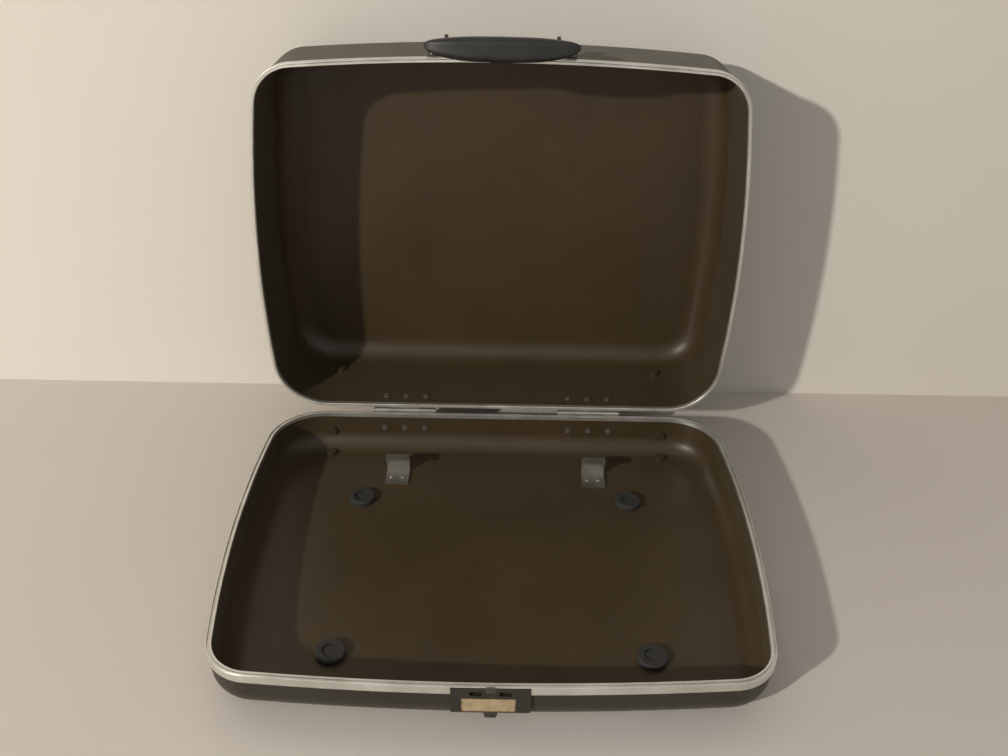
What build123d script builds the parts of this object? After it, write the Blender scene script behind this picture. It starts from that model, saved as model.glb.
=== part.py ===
from build123d import *
import os
from math import radians, tan

# Carrying case for a portable typewriter: two moulded tubs with aluminium rims, hinged at the back.
# Millimetres and degrees. Every piece is first placed with the case shut, with the origin on the hinge axis,
# X to the right, Y to the back, Z up and the parting plane at Z = 0. The lid group is then swung open.

# Rim outline, seen from above, on the outer faces of the valances
case_width = 446.0
case_depth = 343.7
side_bow_radius = 1150.0
side_widest = 137.5
front_bow_radius = 2200.0
front_corner_radius = 38.0
back_corner_radius = 50.0

# Moulded shells
base_height = 41.0
lid_height = 94.0
base_wall = 3.4
lid_wall = 2.2
draft = 1.7
base_edge_radius = 22.0
lid_edge_radius = 24.0
lid_open_angle = 90.0

# Aluminium valances
band_thickness = 1.0
band_height = 7.2
head_height = 3.6
rim_rounding = 0.4
cut_margin = 10.0
groove_inset = 0.7
groove_width = 2.2
groove_depth = 1.5
tongue_clearance = 0.25
relief_width = 0.35
parting_gap = 0.3

# Hinges
hinge_offset = 3.5
hinge_spacing = 184.0
hinge_width = 60.0
hinge_leaf_height = 24.0
hinge_leaf_thickness = 1.2
knuckle_radius = 2.8
knuckle_width = 15.0
knuckle_gap = 0.3
hinge_pin_radius = 1.5
hinge_pin_head = 1.2
stop_tail_length = 6.0
stop_tail_width = 18.0
stop_tail_thickness = 2.1
running_clearance = 0.05
stop_clearance = 0.3

# Fasteners
rivet_radius = 1.5
rivet_head_radius = 2.8
rivet_head_height = 1.0
screw_radius = 1.6
screw_head_radius = 3.4
screw_head_height = 1.8
head_sink = 0.6
head_clearance = 0.4

# Strike plate on the base's front wall, its blank label and the slots for the latch
strike_width = 57.0
strike_height = 24.0
strike_top = 0.5
strike_proud = 1.2
strike_sheet = 1.0
strike_side_gap = 0.15
strike_rivet_spacing = 44.0
strike_rivet_drop = 16.0
slot_width = 8.6
slot_height = 4.6
slot_spacing = 21.2
slot_drop = 2.6
label_width = 39.0
label_height = 13.6
label_thickness = 0.25
label_drop = 9.2
label_shift = -1.5

# Machine release slide
slide_width = 6.4
slide_thickness = 1.0
slide_tab_width = 10.0
slide_tab_height = 4.2
slide_tab_lip = 2.4
slide_hook_reach = 11.4
slide_hook_drop = 8.6
slide_rise = 1.2
slide_hook_lip = 3.6
slide_travel = 2.4
slide_clearance = 0.15
slide_lug_drop = 23.4
slide_lug_width = 3.0
slide_lug_reach = 3.4
spring_boss_width = 12.0
spring_boss_depth = 3.4
spring_channel_top = 12.0
release_spring_radius = 1.3
release_spring_wire = 0.45
release_spring_turns = 7

# Feet under the base, glides on the hinge side
foot_radius = 10.0
foot_height = 3.5
foot_sleeve = 5.0
foot_side_inset = 58.0
foot_spacing = case_width - 2 * foot_side_inset
front_foot_inset = 34.0
back_foot_inset = 21.0
foot_boss_radius = 4.6
foot_boss_height = 4.0
glide_radius = 7.0
glide_reach = 7.0
glide_spacing = foot_spacing
base_glide_drop = 20.0
lid_glide_rise = 62.0
glide_post_radius = 4.5
glide_post_height = 3.0

# Seats and hooks that hold the machine on the floor of the base
pad_radius = 12.0
pad_height = 5.0
pad_dish_radius = 7.0
pad_dish_depth = 1.6
pad_spacing = 250.0
front_pad_inset = 62.0
back_pad_inset = 92.0
hook_spacing = 190.0
hook_width = 22.0
hook_sheet = 2.0
hook_foot_length = 20.0
hook_height = 20.0
hook_tongue = 10.0
hook_inset = 46.0

# Latch on the lid's front wall
latch_plate_width = 100.0
latch_plate_low = 12.0
latch_plate_thickness = 1.2
latch_flange_drop = 0.8
ear_width = 3.0
ear_length = 7.0
ear_crown = 4.0
rod_height_along = 54.0
latch_plate_high = rod_height_along + 6.0
rod_radius = 1.5
hasp_thickness = 1.2
hasp_clearance = 0.7
hasp_tip_drop = 8.5
hasp_waist = 44.0
hasp_lip = 1.6
hasp_corner = 4.0
hasp_knuckle_radius = 2.6
hasp_knuckle_width = 8.0
tongue_thickness = 2.0
tongue_side_gap = 0.8
tongue_top_gap = 1.0
tongue_reach = 1.4
latch_rivet_spacing = 84.0
latch_spring_radius = 2.4
latch_spring_wire = 0.7
latch_spring_turns = 5
latch_spring_leg = 12.0

# Handle on the lid's front wall
handle_pivot_height = 16.0
handle_standoff = 7.2
handle_reach = 38.6
handle_rest_tilt = 10.0
grip_half_length = 62.0
strap_half_length = 51.5
grip_depth = 19.0
grip_height = 19.5
grip_corner_share = 0.3
grip_stations = (0.0, 0.34, 0.62, 0.82, 0.94)
grip_bulge = 2.35
grip_end_share = 0.16
grip_tip_rise = 3.0
strap_width = 7.0
strap_thickness = 1.6
handle_pin_radius = 2.0
handle_pin_head_radius = 3.2
handle_pin_head = 1.2
bracket_gap = 0.4
bracket_width = 8.0
bracket_length = 17.0
bracket_crown = 4.2
bracket_flank = 2.6
bracket_rivet_spacing = 12.4
handle_screw_spacing = 72.0

# Placement
back_y = -hinge_offset
front_y = back_y - case_depth
widest_y = back_y - side_widest
rim_z = base_height + foot_height
footprint_back = lid_height
footprint_front = -front_y + strike_proud
hinge_y = (footprint_front - footprint_back) / 2
to_base = Pos(0, hinge_y, rim_z)
to_lid = to_base * Rot(-lid_open_angle, 0, 0)


def block(x, y, z):
    """A box from three (low, high) pairs."""
    size = [high - low for low, high in (x, y, z)]
    middle = [(high + low) / 2 for low, high in (x, y, z)]
    return Pos(*middle) * Box(*size)


def span(middle, width):
    return (middle - width / 2, middle + width / 2)


def disc(radius):
    """A circle whose seam lies at -X."""
    return Rot(0, 0, 180) * Circle(radius)


def outline(inset):
    """The rim outline, drawn in by inset: bowed sides and front, straight back, rounded corners."""
    bow = side_bow_radius - inset
    right = Pos(case_width / 2 - side_bow_radius, widest_y) * disc(bow)
    left = Pos(side_bow_radius - case_width / 2, widest_y) * Circle(bow)
    front = Pos(0, front_y + front_bow_radius) * Circle(front_bow_radius - inset)
    behind = Pos(0, back_y - inset - case_depth) * Rectangle(2 * case_width, 2 * case_depth)
    shape = right & left & front & behind
    shape = fillet(shape.vertices().group_by(Axis.Y)[0], front_corner_radius - inset)
    return fillet(shape.vertices().group_by(Axis.Y)[-1], back_corner_radius - inset)


def ring(outer_inset, inner_inset, low, high):
    """An upright band that follows the rim outline."""
    return Pos(0, 0, low) * extrude(outline(outer_inset) - outline(inner_inset), amount=high - low)


def tub(inset, height, edge_radius):
    """A drafted solid that rises from the parting plane to a rounded far edge."""
    body = extrude(outline(inset), amount=height, taper=draft)
    room = front_corner_radius - inset - height * tan(radians(draft)) - 0.5
    return fillet(body.faces().sort_by(Axis.Z)[-1].edges(), min(edge_radius, room))


def lid_tub():
    return tub(band_thickness, lid_height, lid_edge_radius)


def base_tub():
    return mirror(tub(band_thickness, base_height, base_edge_radius), about=Plane.XY)


def front_wall(z):
    """Y of a shell's outer front face at the middle, at a height above or below the parting plane."""
    return front_y + band_thickness + tan(radians(draft)) * abs(z)


def back_wall(z):
    return back_y - band_thickness - tan(radians(draft)) * abs(z)


def rod(start, direction, radius, length):
    """A round bar from a start point along a direction."""
    return Plane(origin=start, z_dir=direction) * Pos(0, 0, length / 2) * Cylinder(radius, length)


def rods(points, direction, radius, length):
    return Part() + [rod(point, direction, radius, length) for point in points]


def rivets(points, direction, grip, shell):
    """Rivets from outer faces at points, through grip, with both heads dressed to the pieces they hold."""
    made = Part()
    for point in points:
        start = Vector(*point) - Vector(*direction) * rivet_head_height
        body = rod(start, direction, rivet_radius, grip + 2 * rivet_head_height)
        body += rod(start, direction, rivet_head_radius, rivet_head_height)
        end = Vector(*point) + Vector(*direction) * grip
        body += rod(end, direction, rivet_head_radius, rivet_head_height)
        made += body
    for piece in shell:
        made -= piece
    return made


def rivet_holes(points, direction, grip):
    starts = [Vector(*point) - Vector(*direction) * grip for point in points]
    return rods(starts, direction, rivet_radius, 3 * grip)


# --- strike plate, label and release slide ---
strike_face = front_y - strike_proud
strike_inner = strike_face + strike_sheet
strike_bottom = -strike_top - strike_height
slide_front = strike_inner + slide_clearance
slide_back = slide_front + slide_thickness
slide_bottom = strike_bottom - slide_tab_height - slide_thickness
slide_notch = slide_width + 2 * strike_side_gap
slide_step_top = -strike_top - slide_travel - stop_clearance
slide_step_low = slide_step_top - slide_thickness
hook_top = -slide_hook_drop
spring_axis_y = slide_back + slide_lug_reach - release_spring_radius - release_spring_wire
channel_back = slide_back + slide_lug_reach + slide_clearance
strike_rivet_points = [
    (side * strike_rivet_spacing / 2, strike_inner, -strike_top - strike_rivet_drop) for side in (-1, 1)
]


def strike_recess():
    """Room in the base valance's band for the strike plate and the slide behind it."""
    return block(
        span(0, strike_width + 2 * strike_side_gap),
        (front_y - 1, front_wall(0) + strike_side_gap * 2),
        (strike_bottom, -strike_top + strike_side_gap),
    )


def head_width(wall):
    """Width of a valance's head, which caps the shell's rim."""
    return band_thickness + wall


def slots():
    low = -strike_top - slot_drop - slot_height
    depth = (strike_face - 1, strike_inner + 1)
    height = (low, low + slot_height)
    return [block(span(side * slot_spacing / 2, slot_width), depth, height) for side in (-1, 1)]


def strike_plate(valance):
    top = -strike_top
    depth = front_wall(0) + 3 * strike_sheet
    plate = block(span(0, strike_width), (strike_face, depth), (strike_bottom, top))
    plate = fillet(plate.edges().filter_by(Axis.Y).group_by(Axis.Z)[0], strike_sheet * 0.9)
    hollow_width = strike_width - 2 * strike_sheet
    plate -= block(span(0, hollow_width), (strike_inner, depth + 1), (strike_bottom - 1, top - strike_sheet))
    plate -= base_tub() + valance + slots()
    plate -= ring(groove_inset, groove_inset + groove_width, -groove_depth - slide_clearance, 1)
    notch_low = slide_step_low - slide_clearance
    plate -= block(span(0, slide_notch), (strike_face - 1, front_y + cut_margin), (notch_low, top + 1))
    return plate


def label_card():
    top = -strike_top - label_drop
    depth = (strike_face - label_thickness, strike_face)
    return block(span(label_shift, label_width), depth, (top - label_height, top))


def release_slide():
    """Sliding strip with a finger tab below, a stepped tip above the plate and a hook through the wall."""
    strip = block(span(0, slide_width), (slide_front, slide_back), (slide_bottom, slide_step_top))
    tab_top = slide_bottom + slide_tab_height + 2 * slide_thickness
    tab = block(span(0, slide_tab_width), (slide_front, slide_back), (slide_bottom, tab_top))
    tab = chamfer(tab.edges().filter_by(Axis.Y).group_by(Axis.Z)[0], slide_thickness)
    lip = block(
        span(0, slide_tab_width - 2 * slide_thickness),
        (slide_back - slide_tab_lip, slide_back),
        (slide_bottom, slide_bottom + slide_thickness),
    )
    tip_back = strike_face + slide_thickness * 0.85
    step = block(span(0, slide_width), (strike_face, slide_back), (slide_step_low, slide_step_top))
    tip = block(span(0, slide_width), (strike_face, tip_back), (slide_step_low, slide_rise))
    hook_end = slide_front + slide_hook_reach
    hook = block(span(0, slide_width), (slide_front, hook_end), (hook_top - slide_thickness, hook_top))
    hook += block(
        span(0, slide_width), (hook_end - slide_thickness, hook_end), (hook_top - slide_hook_lip, hook_top)
    )
    lug = block(
        span(0, slide_lug_width),
        (slide_back - slide_thickness / 2, slide_back + slide_lug_reach),
        (-slide_lug_drop - slide_thickness, -slide_lug_drop),
    )
    return strip + tab + lip + step + tip + hook + lug


def coil(radius, wire, turns, height):
    """A round-wire helical spring standing on the XY plane, with height over its wire."""
    rise = height - 2 * wire
    path = Pos(0, 0, wire) * Helix(pitch=rise / turns, height=rise, radius=radius)
    start = path @ 0
    section = Plane(origin=start, z_dir=path % 0) * Circle(wire)
    return sweep(section, path=path, is_frenet=True)


def release_spring():
    low = -slide_lug_drop + slide_clearance / 2
    height = -spring_channel_top - low
    return Pos(0, spring_axis_y, low) * coil(
        release_spring_radius, release_spring_wire / 2, release_spring_turns, height
    )


# --- hinges ---
leaf_back = back_y + hinge_leaf_thickness
hinge_centres = [side * hinge_spacing / 2 for side in (-1, 1)]
leaf_rivet_rise = (band_height + hinge_leaf_height) / 2


def leaf_rivet_points(centre, sign):
    offsets = (-hinge_width / 3, 0, hinge_width / 3)
    return [(centre + offset, leaf_back, sign * leaf_rivet_rise) for offset in offsets]


def leaf(centre, sign, tub_solid, band_end):
    """One hinge leaf, lying on the valance band and then on the shell wall; sign is +1 for the lid."""
    low, high = sorted((sign * parting_gap, sign * hinge_leaf_height))
    inside = back_wall(hinge_leaf_height) - 1
    plate = block(span(centre, hinge_width), (inside, leaf_back), (low, high))
    plate -= block(span(centre, hinge_width), (inside, back_y), sorted((0, sign * band_end)))
    return plate - tub_solid


def base_leaf(centre, tub_solid):
    plate = leaf(centre, -1, tub_solid, band_height)
    notch_width = hinge_width - 2 * knuckle_width
    room = knuckle_radius + knuckle_gap
    plate -= rod((centre - notch_width / 2, 0, 0), (1, 0, 0), room, notch_width)
    for side in (-1, 1):
        start = centre + side * (hinge_width - knuckle_width) / 2 - knuckle_width / 2
        plate += rod((start, 0, 0), (1, 0, 0), knuckle_radius, knuckle_width)
    plate -= rod((centre - hinge_width / 2 - 1, 0, 0), (1, 0, 0), hinge_pin_radius, hinge_width + 2)
    return plate - rivet_holes(leaf_rivet_points(centre, -1), (0, -1, 0), cut_margin)


def lid_leaf(centre, tub_solid):
    plate = leaf(centre, 1, tub_solid, band_height + parting_gap)
    room = knuckle_radius + knuckle_gap
    for side in (-1, 1):
        start = centre + side * (hinge_width - knuckle_width) / 2 - knuckle_width / 2 - knuckle_gap
        plate -= rod((start, 0, 0), (1, 0, 0), room, knuckle_width + 2 * knuckle_gap)
    middle = hinge_width - 2 * knuckle_width - 2 * knuckle_gap
    plate += rod((centre - middle / 2, 0, 0), (1, 0, 0), knuckle_radius, middle)
    tail_low = leaf_back + stop_clearance
    tail_high = tail_low + stop_tail_thickness
    plate += block(span(centre, stop_tail_width), (0, stop_tail_length), (tail_low, tail_high))
    plate -= rod(
        (centre - hinge_width / 2 - 1, 0, 0), (1, 0, 0), hinge_pin_radius + running_clearance, hinge_width + 2
    )
    return plate - rivet_holes(leaf_rivet_points(centre, 1), (0, -1, 0), cut_margin)


def hinge_pins():
    made = Part()
    for centre in hinge_centres:
        pin = rod((centre - hinge_width / 2, 0, 0), (1, 0, 0), hinge_pin_radius, hinge_width)
        for side in (-1, 1):
            end = (centre + side * hinge_width / 2, 0, 0)
            pin += rod(end, (side, 0, 0), knuckle_radius * 0.9, hinge_pin_head)
        made += pin
    return made


# --- feet, glides and machine seats ---
foot_points = [
    (side * foot_spacing / 2, y)
    for side in (-1, 1)
    for y in (front_y + front_foot_inset, back_y - back_foot_inset)
]


def foot_pads(tub_solid):
    """Rubber feet, dressed to the underside, with a recess for the screw's head."""
    made = Part()
    for x, y in foot_points:
        foot = rod((x, y, -base_height - foot_height), (0, 0, 1), foot_radius, foot_height + foot_sleeve)
        bottom = foot.faces().sort_by(Axis.Z)[0]
        foot = chamfer(bottom.edges(), 1)
        made += foot
    recess = rods(
        [(x, y, -base_height - foot_height - 1) for x, y in foot_points],
        (0, 0, 1), screw_head_radius + head_clearance, screw_head_height + 1,
    )
    return made - tub_solid - recess - foot_shanks(0.01)


def foot_shanks(extra):
    bottom = -base_height - foot_height + screw_head_height - extra
    top = -base_height + base_wall + foot_boss_height - 1
    return rods([(x, y, bottom) for x, y in foot_points], (0, 0, 1), screw_radius, top - bottom)


def foot_screws():
    head_low = -base_height - foot_height + head_sink
    starts = [(x, y, head_low) for x, y in foot_points]
    heads = rods(starts, (0, 0, 1), screw_head_radius, screw_head_height - head_sink)
    return heads + foot_shanks(0.01)


def foot_bosses():
    return rods(
        [(x, y, -base_height + base_wall / 2) for x, y in foot_points],
        (0, 0, 1), foot_boss_radius, foot_boss_height + base_wall / 2,
    )


def glide_points(z):
    return [(side * glide_spacing / 2, glide_reach, z) for side in (-1, 1)]


def glides(z, tub_solid):
    """Rubber glides on which the shut case stands, hinge side down."""
    made = Part()
    for point in glide_points(z):
        body = rod(point, (0, -1, 0), glide_radius, glide_reach - back_wall(z) + foot_sleeve)
        made += chamfer(body.faces().sort_by(Axis.Y)[-1].edges(), 1)
    recess = [rod((x, y + 1, z), (0, -1, 0), screw_head_radius + head_clearance, screw_head_height + 1)
              for x, y, z in glide_points(z)]
    return made - tub_solid - recess - glide_shanks(z, 0.01)


def glide_shanks(z, extra):
    start = glide_reach - screw_head_height + extra
    end = back_wall(z) - glide_post_height
    return rods([(x, start, z) for x, _, z in glide_points(z)], (0, -1, 0), screw_radius, start - end)


def glide_screws(z):
    heads = rods(
        [(x, glide_reach - head_sink, z) for x, _, z in glide_points(z)],
        (0, -1, 0), screw_head_radius, screw_head_height - head_sink,
    )
    return heads + glide_shanks(z, 0.01)


def glide_posts(z, wall):
    """Moulded posts inside the back wall that take the glides' screws."""
    points = [(x, back_wall(z) - wall / 2, z) for x, _, z in glide_points(z)]
    return rods(points, (0, -1, 0), glide_post_radius, glide_post_height + wall / 2)


floor_z = -base_height + base_wall
pad_points = [
    (side * pad_spacing / 2, y)
    for side in (-1, 1)
    for y in (front_y + front_pad_inset, back_y - back_pad_inset)
]


def machine_pads():
    """Rubber cups that the machine's own feet stand in."""
    pads = rods([(x, y, floor_z) for x, y in pad_points], (0, 0, 1), pad_radius, pad_height)
    pads = chamfer(pads.faces().group_by(Axis.Z)[-1].edges(), 1)
    dishes = [(x, y, floor_z + pad_height - pad_dish_depth) for x, y in pad_points]
    return pads - rods(dishes, (0, 0, 1), pad_dish_radius, pad_dish_depth + 1)


def hook_rivet_points(side):
    foot_middle = back_y - hook_inset - hook_sheet - hook_foot_length / 2
    return [(side * hook_spacing / 2 + offset, foot_middle, floor_z + hook_sheet)
            for offset in (-hook_width / 4, hook_width / 4)]


def machine_hook(side):
    """A bent steel bracket whose tongue reaches forward over the machine's back edge."""
    rear = back_y - hook_inset
    x = span(side * hook_spacing / 2, hook_width)
    foot = block(x, (rear - hook_sheet - hook_foot_length, rear), (floor_z, floor_z + hook_sheet))
    riser = block(x, (rear - hook_sheet, rear), (floor_z, floor_z + hook_height))
    tongue = block(x, (rear - hook_tongue, rear), (floor_z + hook_height - hook_sheet, floor_z + hook_height))
    bracket = foot + riser + tongue
    bends = bracket.edges().filter_by(Axis.X).sort_by(Axis.Y)[-2:]
    bracket = fillet(bends, hook_sheet * 0.8)
    return bracket - rivet_holes(hook_rivet_points(side), (0, 0, -1), cut_margin)


# --- latch ---
hasp_inner = strike_face - hasp_clearance
hasp_outer = hasp_inner - hasp_thickness
rod_y = (hasp_inner + hasp_outer) / 2
plate_ends = (-latch_plate_width / 2, latch_plate_width / 2)
latch_rivet_points = [
    (side * latch_rivet_spacing / 2, front_wall(z) - latch_plate_thickness, z)
    for side in (-1, 1)
    for z in (latch_plate_low + 2 * rivet_head_radius, rod_height_along - ear_crown - rivet_head_radius)
]


def latch_plate(tub_solid):
    """Steel plate on the lid wall, with a turned-up back edge and two ears that carry the rod."""
    tilt = Pos(0, front_wall(0), 0) * Rot(-draft, 0, 0)
    depth = 4.0
    skin = block(plate_ends, (-latch_plate_thickness, depth), (latch_plate_low, latch_plate_high))
    flange_low = latch_plate_high - latch_plate_thickness
    flange_top = rod_y + latch_flange_drop
    flange = block(plate_ends, (flange_top, front_wall(latch_plate_high)), (flange_low, latch_plate_high))
    plate = tilt * skin + flange
    for side in (-1, 1):
        edge = side * latch_plate_width / 2
        x = sorted((edge, edge - side * ear_width))
        plate += block(x, (rod_y, front_wall(latch_plate_high)), span(rod_height_along, ear_length))
        plate += rod((x[0], rod_y, rod_height_along), (1, 0, 0), ear_crown, ear_width)
    bore = rod((plate_ends[0] - 1, rod_y, rod_height_along), (1, 0, 0), rod_radius, latch_plate_width + 2)
    plate -= tub_solid + bore
    return plate - rivet_holes(latch_rivet_points, (0, 1, 0), cut_margin)


def latch_rod():
    return rod((plate_ends[0] - 0.5, rod_y, rod_height_along), (1, 0, 0), rod_radius, latch_plate_width + 1)


def hasp_outline():
    """Half-width profile of the hasp: full width at the rod, narrower at the tongues, rounded corners."""
    half, waist = strike_width / 2, hasp_waist / 2
    knee = latch_plate_low - hasp_corner
    right = [
        (half, rod_height_along), (half, knee + 2 * hasp_corner), (waist, knee), (waist, -hasp_tip_drop)
    ]
    left = [(-x, z) for x, z in reversed(right)]
    face = make_face(Polyline(*right, *left, close=True))
    return fillet(face.vertices().sort_by(Axis.Y)[:6], hasp_corner / 2)


def latch_hasp():
    """Sprung plate that hangs from the rod and catches the strike plate with two tongues."""
    half = strike_width / 2
    hasp = Pos(0, hasp_inner, 0) * extrude(Plane.XZ * hasp_outline(), amount=hasp_thickness)
    hasp -= block(
        span(0, strike_width - 2 * hasp_knuckle_width),
        (hasp_outer - 1, hasp_inner + 1),
        (rod_height_along - hasp_knuckle_radius - latch_spring_wire, rod_height_along + 1),
    )
    for side in (-1, 1):
        low = min(side * half, side * (half - hasp_knuckle_width))
        hasp += rod((low, rod_y, rod_height_along), (1, 0, 0), hasp_knuckle_radius, hasp_knuckle_width)
    hasp += block(
        span(0, hasp_waist - 2 * hasp_corner),
        (hasp_outer - hasp_lip, hasp_inner),
        (-hasp_tip_drop, -hasp_tip_drop + hasp_thickness),
    )
    tongue_high = -strike_top - slot_drop - tongue_top_gap
    for side in (-1, 1):
        hasp += block(
            span(side * slot_spacing / 2, slot_width - 2 * tongue_side_gap),
            (hasp_inner - hasp_thickness / 2, strike_inner + tongue_reach),
            (tongue_high - tongue_thickness, tongue_high),
        )
    bore_radius = rod_radius + running_clearance
    return hasp - rod((-half - 1, rod_y, rod_height_along), (1, 0, 0), bore_radius, strike_width + 2)


def latch_spring():
    """Torsion spring round the rod: one leg on the plate, the other on the hasp's outer face."""
    wire = latch_spring_wire / 2
    length = (latch_spring_turns + 1.5) * latch_spring_wire * 1.1
    turned = Rot(0, 90, 0) * Rot(0, 0, 90)
    spring = turned * coil(latch_spring_radius, wire, latch_spring_turns + 0.5, length)
    spring += rod((wire, latch_spring_radius, 0), (0, 0, -1), wire, latch_spring_leg)
    rest = Vector(0, hasp_outer - rod_y - 1.1 * wire + latch_spring_radius, -latch_spring_leg)
    spring += rod((length - wire, -latch_spring_radius, 0), rest, wire, latch_spring_leg)
    return Pos(-length / 2, rod_y, rod_height_along) * spring


# --- handle ---
pivot_y = front_wall(handle_pivot_height) - handle_standoff
strap_outer = strap_half_length + strap_thickness
to_handle = Pos(0, pivot_y, handle_pivot_height) * Rot(-handle_rest_tilt, 0, 0)
bracket_inner = strap_outer + bracket_gap


def grip_blank():
    """The grip about its own middle: X along it, Y its thickness, Z its depth; its tips rise outwards."""
    half = [(place, (1 - place**grip_bulge) ** (1 / grip_bulge)) for place in grip_stations]
    half.append((1.0, grip_end_share))
    sections = [
        Plane.YZ.offset(place * grip_half_length)
        * Pos(-grip_tip_rise * (1 - share), 0)
        * RectangleRounded(grip_height * share, grip_depth * share, grip_corner_share * grip_depth * share)
        for place, share in [(-place, share) for place, share in half[:0:-1]] + half
    ]
    return loft(sections)


def strap():
    """Bent steel strap inside the grip; its arms swing on the pins."""
    half = strap_outer
    width = (-strap_width / 2, strap_width / 2)
    bar = block((-half, half), width, span(-handle_reach, strap_thickness))
    for side in (-1, 1):
        x = sorted((side * half, side * (half - strap_thickness)))
        bar += block(x, width, (-handle_reach - strap_thickness / 2, 0))
        bar += rod((x[0], 0, 0), (1, 0, 0), strap_width / 2, strap_thickness)
    bends = bar.edges().filter_by(Axis.Y).group_by(Axis.Z)[0]
    bar = fillet(bends, strap_thickness)
    bore = rod((-half - 1, 0, 0), (1, 0, 0), handle_pin_radius + running_clearance, 2 * half + 2)
    return bar - bore - handle_screw_shanks()


def handle_screw_shanks():
    points = [(side * handle_screw_spacing / 2, 0, -handle_reach + grip_depth / 4) for side in (-1, 1)]
    return rods(points, (0, 0, -1), screw_radius, grip_depth / 2)


def handle_screws():
    points = [(side * handle_screw_spacing / 2, 0, -handle_reach + grip_depth / 4) for side in (-1, 1)]
    return handle_screw_shanks() + rods(points, (0, 0, 1), screw_head_radius, screw_head_height)


def grips():
    """The grip's two moulded halves, closed round the strap."""
    blank = Pos(0, 0, -handle_reach) * grip_blank()
    blank -= strap() + handle_screw_shanks()
    wells = [(side * handle_screw_spacing / 2, 0, -handle_reach + grip_depth / 4) for side in (-1, 1)]
    blank -= rods(wells, (0, 0, 1), screw_head_radius, grip_depth)
    seam = Plane.XY.offset(-handle_reach)
    return split(blank, bisect_by=seam, keep=Keep.TOP), split(blank, bisect_by=seam, keep=Keep.BOTTOM)


def handle_pins():
    made = Part()
    length = strap_thickness + 2 * bracket_gap + bracket_width * 0.8
    for side in (-1, 1):
        start = (side * (strap_outer - strap_thickness - bracket_gap), pivot_y, handle_pivot_height)
        made += rod(start, (side, 0, 0), handle_pin_radius, length)
        made += rod(start, (-side, 0, 0), handle_pin_head_radius, handle_pin_head)
    return made


def bracket_rivet_points(side):
    x = side * (bracket_inner + bracket_width / 2)
    return [(x, front_wall(handle_pivot_height) - bracket_flank, z)
            for z in span(handle_pivot_height, bracket_rivet_spacing)]


def handle_bracket(side, tub_solid, valance):
    """Humped mount that holds one pin: an outline across the wall, extruded along X."""
    wall = front_wall(handle_pivot_height)
    low, high = span(handle_pivot_height, bracket_length)
    x = sorted((side * bracket_inner, side * (bracket_inner + bracket_width)))
    body = block(x, (wall - bracket_flank, wall + 3), (low, high))
    body += block(x, (pivot_y, wall), span(handle_pivot_height, 2 * bracket_crown))
    body += rod((x[0], pivot_y, handle_pivot_height), (1, 0, 0), bracket_crown, bracket_width)
    body -= tub_solid + valance + handle_pins()
    return body - rivet_holes(bracket_rivet_points(side), (0, 1, 0), cut_margin)


# --- assembly ---
cut_depth = (front_y - cut_margin, back_y + cut_margin)


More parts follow.
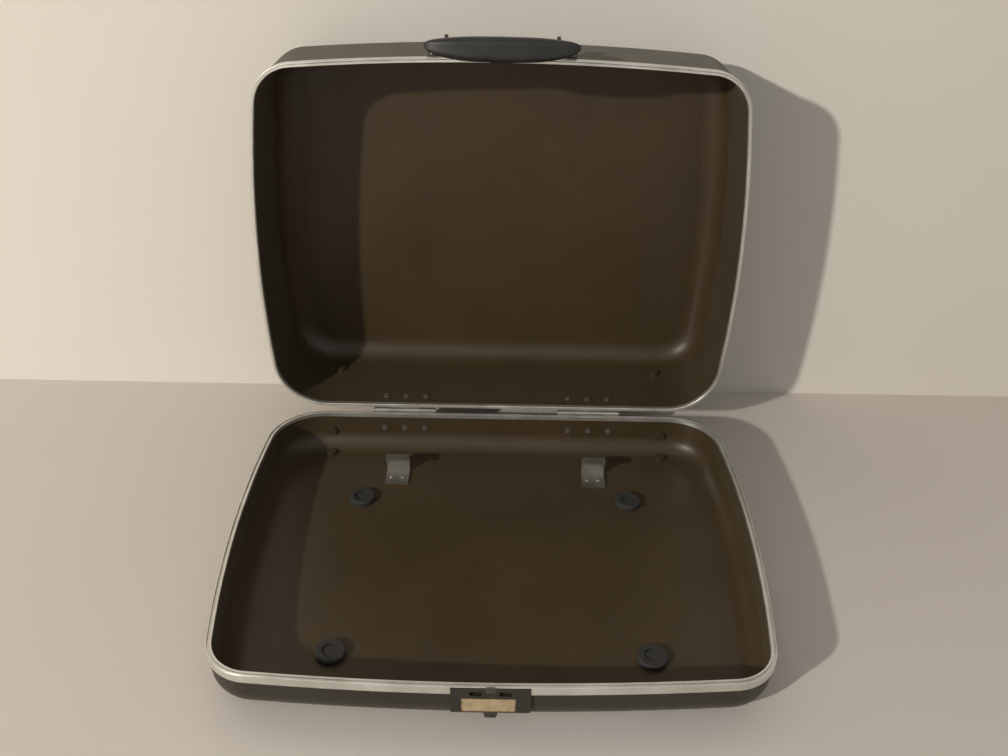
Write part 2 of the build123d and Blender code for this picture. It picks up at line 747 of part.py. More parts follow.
def make_base():
    """Every piece of the base, placed with the case shut."""
    outer = base_tub()
    inner = mirror(
        tub(band_thickness + base_wall, base_height - base_wall, base_edge_radius - base_wall), about=Plane.XY
    )
    rim_cut = block(span(0, 2 * case_width), cut_depth, (-head_height, cut_margin))
    slab = Pos(0, 0, -band_height) * extrude(outline(0), amount=band_height)
    slab = fillet(slab.faces().sort_by(Axis.Z)[-1].edges(), rim_rounding)
    valance = slab - Pos(0, 0, -band_height - 1) * extrude(
        outline(band_thickness), amount=band_height + 1 - head_height
    )
    valance -= Pos(0, 0, -head_height - 1) * extrude(outline(head_width(base_wall)), amount=head_height + 2)
    valance -= ring(groove_inset, groove_inset + groove_width, -groove_depth, 1)
    valance -= strike_recess()

    shell = outer - inner
    shell += (foot_bosses() + glide_posts(-base_glide_drop, base_wall)) & outer
    boss_front = front_wall(0) + base_wall / 2
    boss = block(
        span(0, spring_boss_width), (boss_front, boss_front + base_wall / 2 + spring_boss_depth),
        (-slide_lug_drop - 4 * slide_thickness, 2 * slide_thickness - spring_channel_top),
    )
    shell += boss & outer
    shell -= rim_cut
    groove = block(
        span(0, slide_tab_width + 2 * slide_clearance), (front_y - 1, slide_back + slide_clearance),
        (-base_height / 2 - slide_tab_height, 1),
    )
    channel_low = -slide_lug_drop - slide_thickness - stop_clearance
    channel = block(
        span(0, slide_lug_width + 4 * slide_clearance), (slide_back - 1, channel_back),
        (channel_low, -spring_channel_top),
    )
    slot_low = -strike_top - slot_drop - slot_height
    pockets = [
        block(span(side * slot_spacing / 2, slot_width), (strike_inner, strike_inner + tongue_reach + 0.5),
              (slot_low, slot_low + slot_height))
        for side in (-1, 1)
    ]
    window = block(
        span(0, slide_notch), (slide_back - 1, slide_back + slide_hook_reach),
        (hook_top - slide_thickness - slide_clearance, hook_top + slide_travel + stop_clearance),
    )
    shell -= groove + channel + window + pockets
    leaf_rivets = [point for centre in hinge_centres for point in leaf_rivet_points(centre, -1)]
    hook_rivets = hook_rivet_points(-1) + hook_rivet_points(1)
    leaf_grip = leaf_back - back_wall(leaf_rivet_rise) + base_wall
    strike_grip = front_wall(strike_rivet_drop) + base_wall - strike_inner
    shell -= rivet_holes(leaf_rivets, (0, -1, 0), cut_margin)
    shell -= rivet_holes(hook_rivets, (0, 0, -1), cut_margin)
    shell -= foot_shanks(0.01) + glide_shanks(-base_glide_drop, 0.01)
    strike_pins = rods(strike_rivet_points, (0, 1, 0), rivet_radius, strike_grip + rivet_head_height)
    shell -= strike_pins

    plate = strike_plate(valance)
    heads = [(x, y + strike_grip, z) for x, y, z in strike_rivet_points]
    pieces = {
        "base_shell": shell,
        "base_valance": valance,
        "strike_plate": plate,
        "strike_rivets": strike_pins + rods(heads, (0, 1, 0), rivet_head_radius, rivet_head_height) - shell,
        "label_card": label_card(),
        "release_slide": release_slide(),
        "release_spring": release_spring(),
        "rubber_feet": foot_pads(outer),
        "foot_screws": foot_screws(),
        "base_glides": glides(-base_glide_drop, outer),
        "base_glide_screws": glide_screws(-base_glide_drop),
        "hinge_pins": hinge_pins(),
        "machine_pads": machine_pads(),
    }
    leaves = []
    for name, centre in zip(("left", "right"), hinge_centres):
        leaves.append(base_leaf(centre, outer))
        pieces[f"base_hinge_leaf_{name}"] = leaves[-1]
    pieces["base_hinge_rivets"] = rivets(leaf_rivets, (0, -1, 0), leaf_grip, [shell, *leaves])
    hooks = []
    for name, side in (("left", -1), ("right", 1)):
        hooks.append(machine_hook(side))
        pieces[f"machine_hook_{name}"] = hooks[-1]
    pieces["machine_hook_rivets"] = rivets(hook_rivets, (0, 0, -1), hook_sheet + base_wall, [shell, *hooks])
    return pieces


def make_lid():
    """Every piece carried by the lid, placed with the case shut."""
    outer = lid_tub()
    inner = tub(band_thickness + lid_wall, lid_height - lid_wall, lid_edge_radius - lid_wall)
    seat = head_height + parting_gap
    rim_cut = block(span(0, 2 * case_width), cut_depth, (-cut_margin, seat))
    slab = Pos(0, 0, parting_gap) * extrude(outline(0), amount=band_height)
    slab = fillet(slab.faces().sort_by(Axis.Z)[0].edges(), rim_rounding)
    valance = slab - Pos(0, 0, seat) * extrude(outline(band_thickness), amount=band_height)
    valance -= Pos(0, 0, -1) * extrude(outline(head_width(lid_wall)), amount=seat + 2)
    tongue_outer = groove_inset + tongue_clearance
    tongue_inner = groove_inset + groove_width - tongue_clearance
    valance -= ring(tongue_outer - relief_width, tongue_outer, -1, parting_gap + relief_width * 3)
    valance += ring(tongue_outer, tongue_inner, -groove_depth + tongue_clearance * 2, seat)

    shell = outer - inner
    shell += glide_posts(lid_glide_rise, lid_wall) & outer
    shell -= rim_cut + glide_shanks(lid_glide_rise, 0.01)
    leaf_rivets = [point for centre in hinge_centres for point in leaf_rivet_points(centre, 1)]
    bracket_rivets = bracket_rivet_points(-1) + bracket_rivet_points(1)
    shell -= rivet_holes(leaf_rivets, (0, -1, 0), cut_margin)
    shell -= rivet_holes(bracket_rivets + latch_rivet_points, (0, 1, 0), cut_margin)
    leaf_grip = leaf_back - back_wall(leaf_rivet_rise) + lid_wall
    plate = latch_plate(outer)
    latch_grip = latch_plate_thickness + lid_wall
    pieces = {
        "lid_shell": shell,
        "lid_valance": valance,
        "lid_glides": glides(lid_glide_rise, outer),
        "lid_glide_screws": glide_screws(lid_glide_rise),
        "latch_plate": plate,
        "latch_rivets": rivets(latch_rivet_points, (0, 1, 0), latch_grip, [shell, plate]),
        "latch_rod": latch_rod(),
        "latch_spring": latch_spring(),
        "latch_hasp": latch_hasp(),
        "handle_pins": handle_pins(),
    }
    leaves = []
    for name, centre in zip(("left", "right"), hinge_centres):
        leaves.append(lid_leaf(centre, outer))
        pieces[f"lid_hinge_leaf_{name}"] = leaves[-1]
    pieces["lid_hinge_rivets"] = rivets(leaf_rivets, (0, -1, 0), leaf_grip, [shell, *leaves])
    brackets = []
    for name, side in (("left", -1), ("right", 1)):
        brackets.append(handle_bracket(side, outer, valance))
        pieces[f"handle_bracket_{name}"] = brackets[-1]
    pieces["handle_rivets"] = rivets(bracket_rivets, (0, 1, 0), bracket_flank + lid_wall, [shell, *brackets])
    inner_half, outer_half = grips()
    pieces["handle_strap"] = to_handle * strap()
    pieces["handle_screws"] = to_handle * handle_screws()
    pieces["handle_grip_inner"] = to_handle * inner_half
    pieces["handle_grip_outer"] = to_handle * outer_half
    return pieces


def write(pieces, place):
    for name, piece in pieces.items():
        export_step(place * piece, f"parts/{name}.step")


os.makedirs("parts", exist_ok=True)
write(make_base(), to_base)
write(make_lid(), to_lid)
print("hinge axis at", round(hinge_y, 3), rim_z)
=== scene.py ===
import math
import bpy
import bmesh
from mathutils import Matrix, Vector


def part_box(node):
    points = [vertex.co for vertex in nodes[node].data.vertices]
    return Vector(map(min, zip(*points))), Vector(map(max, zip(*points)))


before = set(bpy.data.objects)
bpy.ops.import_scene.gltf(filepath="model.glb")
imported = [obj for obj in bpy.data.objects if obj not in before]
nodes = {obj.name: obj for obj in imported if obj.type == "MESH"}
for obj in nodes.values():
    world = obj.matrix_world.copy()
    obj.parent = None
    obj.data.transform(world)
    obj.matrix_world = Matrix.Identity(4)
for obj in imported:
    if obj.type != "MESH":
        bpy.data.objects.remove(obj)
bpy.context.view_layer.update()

print("stage: frame loaded,", len(nodes), "nodes")


# camera, metres and radians

cameraSetup = {
    "place": (0.002368, -0.681465, 0.588779),
    "pitch": 0.55746,  # downwards from level
    "turn": 0.0053971,  # to the right of straight ahead
    "roll": 0.0204566,
    "lens": 34.568,
    "sensor": 36.0,
    "nearest": 0.02,
    "farthest": 30.0,
}


def makeCamera(setup):
    pitch, turn, roll = setup["pitch"], setup["turn"], setup["roll"]
    forward = math.cos(pitch)
    ahead = Vector((math.sin(turn) * forward, math.cos(turn) * forward, -math.sin(pitch)))
    level = Vector((math.cos(turn), -math.sin(turn), 0))
    upward = level.cross(ahead)
    right = math.cos(roll) * level + math.sin(roll) * upward
    top = math.cos(roll) * upward - math.sin(roll) * level
    data = bpy.data.cameras.new("camera")
    data.lens = setup["lens"]
    data.sensor_width = setup["sensor"]
    data.clip_start = setup["nearest"]
    data.clip_end = setup["farthest"]
    camera = bpy.data.objects.new("camera", data)
    axes = Matrix((right, top, -ahead)).transposed().to_4x4()
    camera.matrix_world = Matrix.Translation(setup["place"]) @ axes
    bpy.context.scene.collection.objects.link(camera)
    bpy.context.scene.camera = camera


makeCamera(cameraSetup)
bpy.context.scene.view_settings.view_transform = "Standard"


# helpers for node materials

def newMaterial(name):
    material = bpy.data.materials.new(name)
    material.use_nodes = True
    return material


def addNode(material, kind, **values):
    node = material.node_tree.nodes.new(kind)
    for key, value in values.items():
        setattr(node, key, value)
    return node


def join(material, source, target):
    material.node_tree.links.new(source, target)


def objectCoords(material, scale=(1, 1, 1), place=(0, 0, 0), turn=(0, 0, 0)):
    coords = addNode(material, "ShaderNodeTexCoord")
    mapping = addNode(material, "ShaderNodeMapping")
    mapping.inputs["Scale"].default_value = scale
    mapping.inputs["Location"].default_value = place
    mapping.inputs["Rotation"].default_value = turn
    join(material, coords.outputs["Object"], mapping.inputs["Vector"])
    return mapping.outputs["Vector"]


def noise(material, vector, grain):
    scale, detail, roughness = grain
    node = addNode(material, "ShaderNodeTexNoise")
    node.inputs["Scale"].default_value = scale
    node.inputs["Detail"].default_value = detail
    node.inputs["Roughness"].default_value = roughness
    join(material, vector, node.inputs["Vector"])
    return node.outputs["Fac"]


def spread(material, factor, span, reach=(0.0, 1.0)):
    node = addNode(material, "ShaderNodeMapRange")
    node.inputs["From Min"].default_value, node.inputs["From Max"].default_value = span
    node.inputs["To Min"].default_value, node.inputs["To Max"].default_value = reach
    join(material, factor, node.inputs["Value"])
    return node.outputs["Result"]


displayCurve = {"toe": 0.04045, "toeSlope": 12.92, "offset": 0.055, "power": 2.4}


def linear(colour):
    curve = displayCurve
    low = [c / curve["toeSlope"] for c in colour]
    high = [((c + curve["offset"]) / (1 + curve["offset"])) ** curve["power"] for c in colour]
    picked = [a if c <= curve["toe"] else b for c, a, b in zip(colour, low, high)]
    return (*picked, 1.0)


def giveInputs(material, sockets, values):
    for socket, value in zip(sockets, values):
        if isinstance(value, tuple):
            socket.default_value = linear(value)
        elif isinstance(value, (int, float)):
            socket.default_value = value
        else:
            join(material, value, socket)


def blendColours(material, factor, first, second):
    node = addNode(material, "ShaderNodeMix", data_type="RGBA", blend_type="MIX")
    join(material, factor, node.inputs["Factor"])
    giveInputs(material, node.inputs[6:8], (first, second))  # the colour pair of this node
    return node.outputs[2]


def compute(material, operation, *values):
    node = addNode(material, "ShaderNodeMath", operation=operation)
    giveInputs(material, node.inputs, values)
    return node.outputs["Value"]


def scaled(material, factor, amount):
    return compute(material, "MULTIPLY", factor, amount)


def bump(material, height, distance, strength, under=None):
    node = addNode(material, "ShaderNodeBump")
    node.inputs["Distance"].default_value = distance
    node.inputs["Strength"].default_value = strength
    join(material, height, node.inputs["Height"])
    if under is not None:
        join(material, under, node.inputs["Normal"])
    return node.outputs["Normal"]


def pebbles(material, vector, scale):
    node = addNode(material, "ShaderNodeTexVoronoi", feature="SMOOTH_F1")
    node.inputs["Scale"].default_value = scale
    join(material, vector, node.inputs["Vector"])
    return node.outputs["Distance"]


def shaderOf(material):
    return material.node_tree.nodes["Principled BSDF"]


def feed(material, socket, value):
    join(material, value, shaderOf(material).inputs[socket])


def setShader(material, **values):
    for key, value in values.items():
        shaderOf(material).inputs[key.replace("_", " ")].default_value = value


def wear(material, nodeNames):
    for name in nodeNames:
        mesh = nodes[name].data
        mesh.materials.clear()
        mesh.materials.append(material)


cloudSpan = (0.35, 0.65)  # the part of a noise that separates two tones
roughSpan = (0.3, 0.7)


# moulded plastic of both shells: pebbled outside, smooth inside

shellPlastic = {
    "outside": (0.238, 0.224, 0.190),
    "outsideDark": (0.212, 0.199, 0.168),
    "inside": (0.268, 0.217, 0.138),
    "insideDark": (0.238, 0.190, 0.116),
    "insideSpan": (0.35, 0.68),
    "clouds": (9.0, 5.0, 0.6),
    "scuff": (0.42, 0.40, 0.36),
    "mottle": (160.0, 3.0, 0.6),
    "mottleSpan": (0.62, 0.8),
    "mottleShare": 0.35,
    "scratches": (34.0, 8.0, 0.75),
    "scratchStretch": (1, 1, 7),
    "scratchTurn": (0.4, 0.7, 0.3),
    "scratchSpan": (0.655, 0.70),
    "scratchShare": 0.22,
    "smears": (21.0, 6.0, 0.65),
    "insideRough": (0.34, 0.46),
    "outsideRough": (0.50, 0.62),
    "specular": 0.38,
    "sheen": 0.10,
    "sheenTint": (1.0, 0.97, 0.89),
    "sheenRoughness": 0.45,
    "grainScale": 900.0,
    "grainDepth": 0.00016,
    "grainStrength": 0.8,
    "grainInside": 0.5,
    "grainAddedOutside": 0.94,
    "waves": (14.0, 2.0, 0.5),
    "waveDepth": 0.0006,
    "waveStrength": 0.35,
    "turnover": (-0.002, 0.002),  # where a face goes from looking inwards to outwards
}


def outwardShare(material, centre, turnover):
    coords = addNode(material, "ShaderNodeTexCoord")
    fromCentre = addNode(material, "ShaderNodeVectorMath", operation="SUBTRACT")
    join(material, coords.outputs["Object"], fromCentre.inputs[0])
    fromCentre.inputs[1].default_value = centre
    facing = addNode(material, "ShaderNodeVectorMath", operation="DOT_PRODUCT")
    join(material, fromCentre.outputs["Vector"], facing.inputs[0])
    join(material, coords.outputs["Normal"], facing.inputs[1])
    return spread(material, facing.outputs["Value"], turnover)


def makeShellPlastic(name, setup):
    material = newMaterial(name)
    outer = outwardShare(material, setup["centre"], setup["turnover"])
    plain = objectCoords(material)

    clouds = noise(material, plain, setup["clouds"])
    outsideShare = spread(material, clouds, cloudSpan)
    outside = blendColours(material, outsideShare, setup["outsideDark"], setup["outside"])
    insideShare = spread(material, clouds, setup["insideSpan"])
    inside = blendColours(material, insideShare, setup["insideDark"], setup["inside"])
    colour = blendColours(material, outer, inside, outside)
    mottle = spread(material, noise(material, plain, setup["mottle"]), setup["mottleSpan"])
    specks = scaled(material, scaled(material, mottle, outer), setup["mottleShare"])
    colour = blendColours(material, specks, colour, setup["scuff"])
    stretched = objectCoords(material, scale=setup["scratchStretch"], turn=setup["scratchTurn"])
    scratches = spread(material, noise(material, stretched, setup["scratches"]), setup["scratchSpan"])
    scratches = scaled(material, scaled(material, scratches, outer), setup["scratchShare"])
    feed(material, "Base Color", blendColours(material, scratches, colour, setup["scuff"]))

    smears = noise(material, plain, setup["smears"])
    rough = addNode(material, "ShaderNodeMix", data_type="FLOAT")
    join(material, outer, rough.inputs["Factor"])
    join(material, spread(material, smears, roughSpan, setup["insideRough"]), rough.inputs[2])
    join(material, spread(material, smears, roughSpan, setup["outsideRough"]), rough.inputs[3])
    feed(material, "Roughness", rough.outputs[0])

    amount = compute(material, "MULTIPLY_ADD", outer, setup["grainAddedOutside"], setup["grainInside"])
    grain = scaled(material, pebbles(material, plain, setup["grainScale"]), amount)
    swell = noise(material, plain, setup["waves"])
    waves = bump(material, swell, setup["waveDepth"], setup["waveStrength"])
    feed(material, "Normal", bump(material, grain, setup["grainDepth"], setup["grainStrength"], waves))
    setShader(material, Specular_IOR_Level=setup["specular"], Sheen_Weight=setup["sheen"],
              Sheen_Roughness=setup["sheenRoughness"], Sheen_Tint=linear(setup["sheenTint"]))
    return material


lidPlastic = {**shellPlastic, "centre": (0, 0.13, 0.225)}
# both shells are one plastic; the base's outer tones are set darker than the lid's to stand in for the
# shade on its front: painted shade
basePlasticShadedCopy = {
    **shellPlastic,
    "centre": (0, -0.045, 0.045),
    "outside": (0.205, 0.186, 0.150),
    "outsideDark": (0.178, 0.161, 0.128),
}
wear(makeShellPlastic("basePlasticShadedCopy", basePlasticShadedCopy), ["base_shell"])
wear(makeShellPlastic("lidPlastic", lidPlastic), ["lid_shell"])


# bright extruded rims

rimMetal = {
    "bright": (0.93, 0.925, 0.905),
    "dull": (0.84, 0.832, 0.805),
    "grimeAndCreviceShade": (0.50, 0.48, 0.44),
    "clouds": (26.0, 6.0, 0.7),
    "spots": (260.0, 5.0, 0.75),
    "spotSpan": (0.64, 0.74),
    "spotShare": 0.55,
    "creviceWidth": 0.0022,
    "creviceSamples": 6,
    "creviceSpan": (0.25, 0.75),
    "creviceShadeReach": (0.5, 0.0),  # painted shade, darkest where the crevice is deepest
    "rough": (0.30, 0.46),
    "streaks": (900.0, 3.0, 0.6),
    "streakStretch": (0.05, 0.05, 6.0),
    "streakDepth": 0.00003,
    "streakStrength": 0.5,
    "metallic": 0.9,
}


def makeRimMetal(name, setup):
    material = newMaterial(name)
    plain = objectCoords(material)
    clouds = noise(material, plain, setup["clouds"])
    colour = blendColours(material, spread(material, clouds, cloudSpan), setup["dull"], setup["bright"])
    spots = spread(material, noise(material, plain, setup["spots"]), setup["spotSpan"])
    colour = blendColours(material, scaled(material, spots, setup["spotShare"]), colour, setup["grimeAndCreviceShade"])
    # the rim's narrow crevices are darkened towards the grime colour by occlusion: painted shade; the
    # random spots are dirt
    crevice = addNode(material, "ShaderNodeAmbientOcclusion", only_local=True,
                      samples=setup["creviceSamples"])
    crevice.inputs["Distance"].default_value = setup["creviceWidth"]
    paintedCreviceShade = spread(material, crevice.outputs["AO"], setup["creviceSpan"], setup["creviceShadeReach"])
    feed(material, "Base Color", blendColours(material, paintedCreviceShade, colour, setup["grimeAndCreviceShade"]))
    feed(material, "Roughness", spread(material, clouds, roughSpan, setup["rough"]))
    streaks = noise(material, objectCoords(material, scale=setup["streakStretch"]), setup["streaks"])
    feed(material, "Normal", bump(material, streaks, setup["streakDepth"], setup["streakStrength"]))
    setShader(material, Metallic=setup["metallic"])
    return material


wear(makeRimMetal("rimMetal", rimMetal), ["base_valance", "lid_valance"])


# plain metals, paints and rubber share one builder

hardSurface = {
    "clouds": (60.0, 6.0, 0.65),
    "wearRadius": 0.0006,
    "wearSamples": 6,
    "wearSpan": (0.93, 0.985),  # how far the rounded normal leaves the face's own
    "wearReach": (1.0, 0.0),
    "broken": (300.0, 4.0, 0.6),
    "brokenSpan": (0.40, 0.6),
    "nicks": (240.0, 6.0, 0.7),
    "nickSpan": (0.66, 0.74),
    "nickShare": 0.14,
    "grain": (1500.0, 3.0, 0.6),
    "grainDepth": 0.00004,
    "grainStrength": 0.6,
    "metallic": 0.0,
}
hardSurfaces = {
    "strikePaint": {
        "light": (0.172, 0.163, 0.136), "dark": (0.160, 0.152, 0.125), "edge": (0.27, 0.26, 0.23),
        "rough": (0.42, 0.50), "nickShare": 0.05,
        "wornBy": ["strike_plate"],
    },
    "slidePaint": {
        "light": (0.295, 0.278, 0.256), "dark": (0.268, 0.252, 0.232), "edge": (0.40, 0.38, 0.36),
        "rough": (0.42, 0.52), "nickShare": 0.1,
        "wornBy": ["release_slide"],
    },
    "latchBlack": {
        "light": (0.155, 0.150, 0.143), "dark": (0.130, 0.126, 0.120), "edge": (0.36, 0.35, 0.33),
        "rough": (0.35, 0.5),
        "wornBy": ["latch_plate", "latch_hasp", "latch_rod", "latch_spring", "handle_strap"],
    },
    "platedSteel": {
        "light": (0.67, 0.66, 0.635), "dark": (0.60, 0.59, 0.565), "edge": (0.80, 0.79, 0.77),
        "rough": (0.3, 0.42), "metallic": 0.9,
        "wornBy": ["base_hinge_leaf_left", "base_hinge_leaf_right", "lid_hinge_leaf_left",
                   "lid_hinge_leaf_right", "machine_hook_left", "machine_hook_right"],
    },
    "fastenerSteel": {
        "light": (0.63, 0.62, 0.60), "dark": (0.53, 0.52, 0.50), "edge": (0.76, 0.75, 0.73),
        "rough": (0.32, 0.46), "metallic": 0.9, "clouds": (180.0, 6.0, 0.65),
        "wornBy": ["release_spring", "foot_screws", "base_glide_screws", "lid_glide_screws",
                   "handle_screws", "hinge_pins", "handle_pins"],
    },
    "rivetMetal": {
        "light": (0.70, 0.69, 0.67), "dark": (0.60, 0.59, 0.57), "edge": (0.82, 0.81, 0.79),
        "rough": (0.3, 0.44), "metallic": 0.9, "clouds": (200.0, 6.0, 0.65),
        "wornBy": ["strike_rivets", "base_hinge_rivets", "lid_hinge_rivets", "machine_hook_rivets",
                   "latch_rivets", "handle_rivets"],
    },
    "bracketPaint": {
        "light": (0.275, 0.268, 0.256), "dark": (0.235, 0.229, 0.218), "edge": (0.45, 0.44, 0.42),
        "rough": (0.38, 0.5), "metallic": 0.2,
        "wornBy": ["handle_bracket_left", "handle_bracket_right"],
    },
    "softRubber": {
        "light": (0.185, 0.18, 0.174), "dark": (0.155, 0.15, 0.146), "edge": (0.25, 0.24, 0.23),
        "rough": (0.68, 0.85), "grainDepth": 0.00005,
        "wornBy": ["rubber_feet", "base_glides", "lid_glides", "machine_pads"],
    },
}


def edgeWear(material, setup):
    bevel = addNode(material, "ShaderNodeBevel", samples=setup["wearSamples"])
    bevel.inputs["Radius"].default_value = setup["wearRadius"]
    geometry = addNode(material, "ShaderNodeNewGeometry")
    agreement = addNode(material, "ShaderNodeVectorMath", operation="DOT_PRODUCT")
    join(material, bevel.outputs["Normal"], agreement.inputs[0])
    join(material, geometry.outputs["Normal"], agreement.inputs[1])
    return spread(material, agreement.outputs["Value"], setup["wearSpan"], setup["wearReach"])


def makeHardSurface(name, setup):
    material = newMaterial(name)
    plain = objectCoords(material)
    clouds = noise(material, plain, setup["clouds"])
    colour = blendColours(material, spread(material, clouds, cloudSpan), setup["dark"], setup["light"])
    broken = spread(material, noise(material, plain, setup["broken"]), setup["brokenSpan"])
    worn = scaled(material, edgeWear(material, setup), broken)
    colour = blendColours(material, worn, colour, setup["edge"])
    nicks = spread(material, noise(material, plain, setup["nicks"]), setup["nickSpan"])
    colour = blendColours(material, scaled(material, nicks, setup["nickShare"]), colour, setup["edge"])
    feed(material, "Base Color", colour)
    feed(material, "Roughness", spread(material, clouds, roughSpan, setup["rough"]))
    grain = noise(material, plain, setup["grain"])
    feed(material, "Normal", bump(material, grain, setup["grainDepth"], setup["grainStrength"]))
    setShader(material, Metallic=setup["metallic"])
    return material


for name, ownSetup in hardSurfaces.items():
    wear(makeHardSurface(name, {**hardSurface, **ownSetup}), ownSetup["wornBy"])


# handle grip

gripPlastic = {
    "light": (0.150, 0.148, 0.141),
    "dark": (0.122, 0.120, 0.114),
    "rub": (0.195, 0.183, 0.162),
    "clouds": (55.0, 5.0, 0.6),
    "rubbed": (18.0, 6.0, 0.75),
    "rubSpan": (0.55, 0.7),
    "rubShare": 0.6,
    "rough": (0.38, 0.52),
    "grainScale": 1300.0,
    "grainDepth": 0.00008,
    "grainStrength": 0.6,
}


def makeGripPlastic(setup):
    material = newMaterial("gripPlastic")
    plain = objectCoords(material)
    clouds = noise(material, plain, setup["clouds"])
    colour = blendColours(material, spread(material, clouds, cloudSpan), setup["dark"], setup["light"])
    rubbed = spread(material, noise(material, plain, setup["rubbed"]), setup["rubSpan"])
    colour = blendColours(material, scaled(material, rubbed, setup["rubShare"]), colour, setup["rub"])
    feed(material, "Base Color", colour)
    feed(material, "Roughness", spread(material, clouds, roughSpan, setup["rough"]))
    grain = pebbles(material, plain, setup["grainScale"])
    feed(material, "Normal", bump(material, grain, setup["grainDepth"], setup["grainStrength"]))
    return material


wear(makeGripPlastic(gripPlastic), ["handle_grip_inner", "handle_grip_outer"])


# bare paper label with a stained, ragged rim

labelPaper = {
    "paper": (0.755, 0.675, 0.545),
    "paperDark": (0.65, 0.57, 0.44),
    "stain": (0.33, 0.22, 0.13),
    "ragged": (420.0, 5.0, 0.7),
    "raggedReach": (-0.10, 0.10),
    "raggedSideShare": 0.4,
    "sideSpan": (0.93, 1.0),  # from the middle to the left and right edges
    "endSpan": (0.82, 1.0),
    "tone": (120.0, 5.0, 0.65),
    "blots": (260.0, 6.0, 0.7),
    "blotSpan": (0.6, 0.72),
    "blotShare": 0.35,
    "rimShare": 0.9,
    "rough": (0.6, 0.75),
    "fibres": (1600.0, 4.0, 0.6),
    "fibreDepth": 0.00003,
    "fibreStrength": 0.6,
}


def labelRim(material, setup, plain):
    low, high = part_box("label_card")
    centre, half = (low + high) / 2, (high - low) / 2
    coords = objectCoords(material, scale=(1 / half.x, 1, 1 / half.z),
                          place=(-centre.x / half.x, 0, -centre.z / half.z))
    parts = addNode(material, "ShaderNodeSeparateXYZ")
    join(material, coords, parts.inputs[0])
    across = compute(material, "ABSOLUTE", parts.outputs["X"])
    upright = compute(material, "ABSOLUTE", parts.outputs["Z"])
    ragged = spread(material, noise(material, plain, setup["ragged"]), roughSpan, setup["raggedReach"])
    raggedSides = compute(material, "ADD", across, scaled(material, ragged, setup["raggedSideShare"]))
    sides = spread(material, raggedSides, setup["sideSpan"])
    ends = spread(material, compute(material, "ADD", upright, ragged), setup["endSpan"])
    return compute(material, "MAXIMUM", sides, ends)


def makeLabelPaper(setup):
    material = newMaterial("labelPaper")
    plain = objectCoords(material)
    rim = labelRim(material, setup, plain)
    tone = spread(material, noise(material, plain, setup["tone"]), roughSpan)
    colour = blendColours(material, tone, setup["paperDark"], setup["paper"])
    blots = spread(material, noise(material, plain, setup["blots"]), setup["blotSpan"])
    colour = blendColours(material, scaled(material, blots, setup["blotShare"]), colour, setup["stain"])
    colour = blendColours(material, scaled(material, rim, setup["rimShare"]), colour, setup["stain"])
    feed(material, "Base Color", colour)
    feed(material, "Roughness", spread(material, tone, (0.0, 1.0), setup["rough"]))
    fibres = noise(material, plain, setup["fibres"])
    feed(material, "Normal", bump(material, fibres, setup["fibreDepth"], setup["fibreStrength"]))
    return material


wear(makeLabelPaper(labelPaper), ["label_card"])
print("stage: materials")


# floor and wall, open from behind and from below

stageSetup = {
    "half": 2.6,
    "wallPlace": 0.242,
    "gloss": 0.25,
    "roughness": 0.8,
    "clouds": (1.4, 4.0, 0.5),
}
floorPaint = {
    "light": (0.872, 0.850, 0.820),
    "shade": (0.82, 0.775, 0.73),
    "opening": {"X": (0.0, 0.19), "Y": (-0.045, 0.14)},  # middle and half width along each axis
}
wallPaint = {
    "light": (0.93, 0.915, 0.885),
    "shade": (0.88, 0.845, 0.795),
    "opening": {"X": (0.0, 0.185), "Z": (0.235, 0.145)},
}


def openShare(material, opening):
    # the room's light passes where the case hides the sheet, close behind it or below it
    place = addNode(material, "ShaderNodeSeparateXYZ")
    join(material, objectCoords(material), place.inputs["Vector"])
    hidden = 1.0
    for axis, (middle, reach) in opening.items():
        near = compute(material, "COMPARE", place.outputs[axis], middle, reach)
        hidden = scaled(material, near, hidden)
    path = addNode(material, "ShaderNodeLightPath")
    seen = compute(material, "MAXIMUM", path.outputs["Is Camera Ray"], path.outputs["Is Glossy Ray"])
    hidden = scaled(material, hidden, compute(material, "SUBTRACT", 1.0, seen))
    geometry = addNode(material, "ShaderNodeNewGeometry")
    return compute(material, "MAXIMUM", geometry.outputs["Backfacing"], hidden)


def makeStagePaint(name, setup, paint):
    material = newMaterial(name)
    clouds = noise(material, objectCoords(material), setup["clouds"])
    feed(material, "Base Color", blendColours(material, clouds, paint["shade"], paint["light"]))
    setShader(material, Roughness=setup["roughness"], Specular_IOR_Level=setup["gloss"])
    clear = addNode(material, "ShaderNodeBsdfTransparent")
    sides = addNode(material, "ShaderNodeMixShader")
    join(material, openShare(material, paint["opening"]), sides.inputs["Fac"])
    join(material, shaderOf(material).outputs["BSDF"], sides.inputs[1])
    join(material, clear.outputs["BSDF"], sides.inputs[2])
    surface = material.node_tree.nodes["Material Output"].inputs["Surface"]
    join(material, sides.outputs["Shader"], surface)
    return material


def makeSheet(name, matrix, half, material):
    mesh = bpy.data.meshes.new(name)
    shape = bmesh.new()
    bmesh.ops.create_grid(shape, x_segments=1, y_segments=1, size=half, matrix=matrix)
    shape.to_mesh(mesh)
    shape.free()
    mesh.materials.append(material)
    sheet = bpy.data.objects.new(name, mesh)
    bpy.context.scene.collection.objects.link(sheet)


def makeStage(setup):
    half = setup["half"]
    makeSheet("floor", Matrix.Identity(4), half, makeStagePaint("floorPaint", setup, floorPaint))
    upright = Matrix.Translation((0, setup["wallPlace"], half)) @ Matrix.Rotation(math.pi / 2, 4, "X")
    makeSheet("wall", upright, half, makeStagePaint("wallPaint", setup, wallPaint))


makeStage(stageSetup)


# lamps and room light

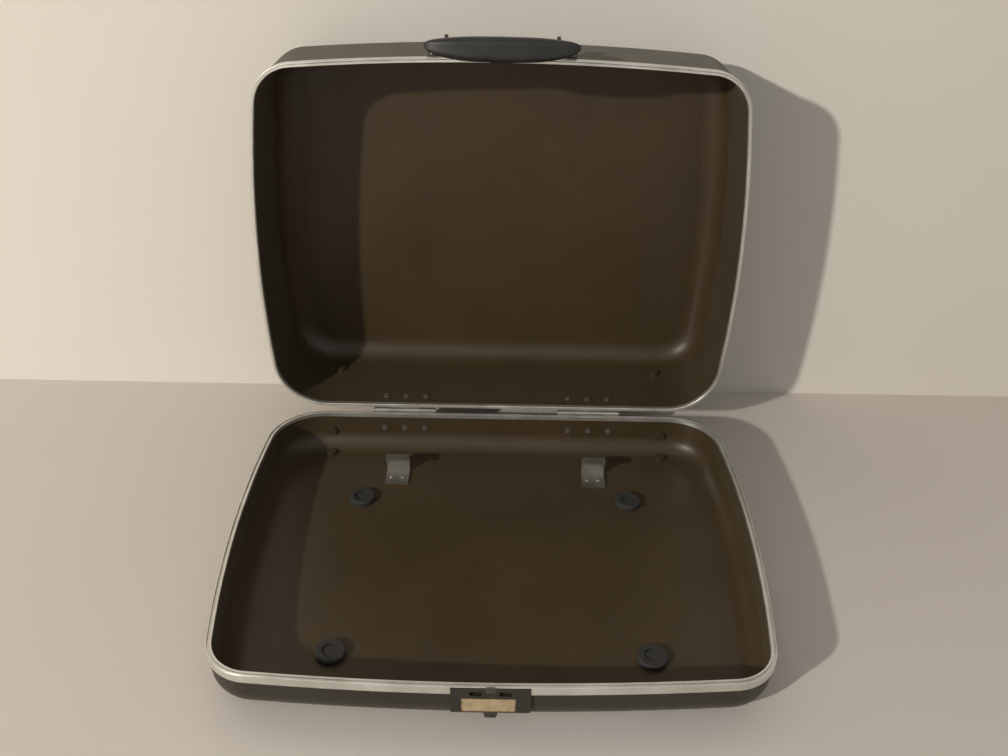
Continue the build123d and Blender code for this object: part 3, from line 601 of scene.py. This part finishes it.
lampAim = (0.0, 0.10, 0.20)
lamps = {
    "key": {
        "from": (-2.12, -2.14, 1.50), "size": 0.11, "power": 70, "colour": (1.0, 0.945, 0.86), "gloss": 0.6,
    },
    "fill": {
        "from": (0.6, -2.0, 1.9), "size": 2.2, "power": 4.0, "colour": (1.0, 1.0, 1.0), "gloss": 0.3,
    },
    "back": {  # behind the wall, for the case's back
        "from": (0.9, 2.4, 1.8), "size": 1.8, "power": 20.0, "colour": (1.0, 1.0, 1.0), "gloss": 0.3,
    },
}
roomLight = {
    "colour": (0.86, 0.90, 0.94),
    "strength": 0.26,
    "backdrop": (0.74, 0.73, 0.71),
}


def makeLamp(name, setup):
    data = bpy.data.lights.new(name, "AREA")
    data.shape = "DISK"
    data.size = setup["size"]
    data.energy = setup["power"]
    data.color = setup["colour"]
    data.specular_factor = setup["gloss"]
    lamp = bpy.data.objects.new(name, data)
    turn = (Vector(lampAim) - Vector(setup["from"])).to_track_quat("-Z", "Y").to_matrix().to_4x4()
    lamp.matrix_world = Matrix.Translation(setup["from"]) @ turn
    bpy.context.scene.collection.objects.link(lamp)


def makeWorld(setup):
    world = bpy.data.worlds.new("studio")
    world.use_nodes = True
    tree = world.node_tree
    soft = tree.nodes["Background"]
    soft.inputs["Color"].default_value = (*setup["colour"], 1.0)
    soft.inputs["Strength"].default_value = setup["strength"]
    pale = tree.nodes.new("ShaderNodeBackground")
    pale.inputs["Color"].default_value = linear(setup["backdrop"])
    path = tree.nodes.new("ShaderNodeLightPath")
    seen = tree.nodes.new("ShaderNodeMath")
    seen.operation = "MAXIMUM"
    blend = tree.nodes.new("ShaderNodeMixShader")
    tree.links.new(path.outputs["Is Camera Ray"], seen.inputs[0])
    tree.links.new(path.outputs["Is Glossy Ray"], seen.inputs[1])
    tree.links.new(seen.outputs["Value"], blend.inputs["Fac"])
    tree.links.new(soft.outputs["Background"], blend.inputs[1])
    tree.links.new(pale.outputs["Background"], blend.inputs[2])
    tree.links.new(blend.outputs["Shader"], tree.nodes["World Output"].inputs["Surface"])
    bpy.context.scene.world = world


for name, setup in lamps.items():
    makeLamp(name, setup)
makeWorld(roomLight)
print("stage: floor and lights")
